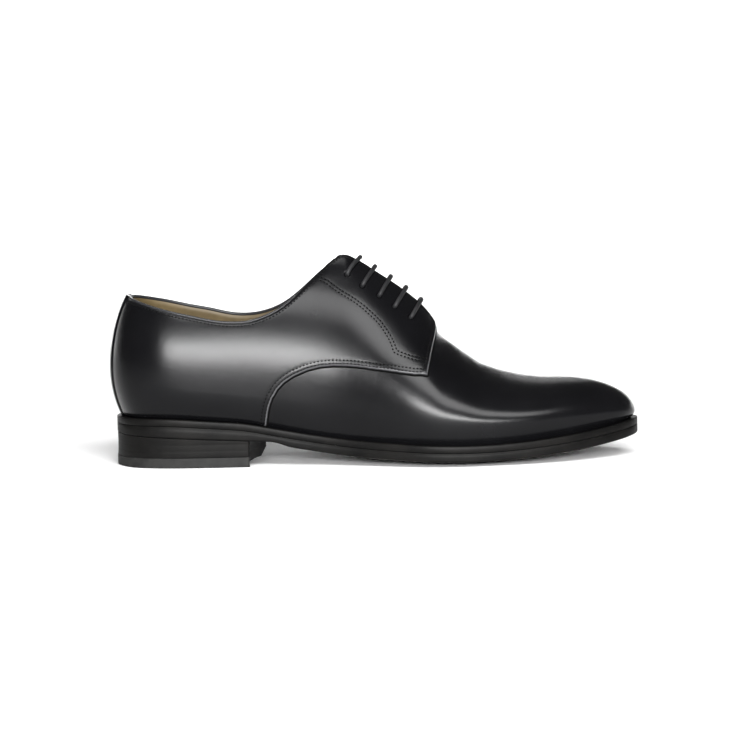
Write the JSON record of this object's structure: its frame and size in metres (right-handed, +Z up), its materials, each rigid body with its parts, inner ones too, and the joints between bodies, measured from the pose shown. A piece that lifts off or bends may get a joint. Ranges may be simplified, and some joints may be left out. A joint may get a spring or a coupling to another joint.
{
  "type": "derby shoe",
  "caption": "Plain-toe derby shoe for the right foot: hollow leather upper with open lacing on a welted leather sole with a stacked heel.",
  "frame": {"origin": "middle of the shoe's box in plan, on the floor", "axes": "+X from the heel to the toe, +Y to the inner (medial) side of the foot, +Z up"},
  "size_m": [0.3048, 0.1046, 0.1193],
  "materials": {
    "sole_leather": "black burnished edge",
    "welt_leather": "black, waxed",
    "heel_leather": "black burnished lifts",
    "top_piece_rubber": "matt black",
    "insole_leather": "natural tan, matt",
    "upper_leather": "polished black box calf",
    "tongue_leather": "black calf",
    "lace_cord": "black round waxed cotton"
  },
  "bodies": {
    "root": {"outsole": "sole_leather", "welt": "welt_leather", "heel_stack": "heel_leather", "heel_top_piece": "top_piece_rubber", "insole": "insole_leather", "upper": "upper_leather", "tongue": "tongue_leather", "lace_bar_1": "lace_cord", "lace_bar_2": "lace_cord", "lace_bar_3": "lace_cord", "lace_bar_4": "lace_cord", "lace_bar_5": "lace_cord"}
  },
  "joints": []
}
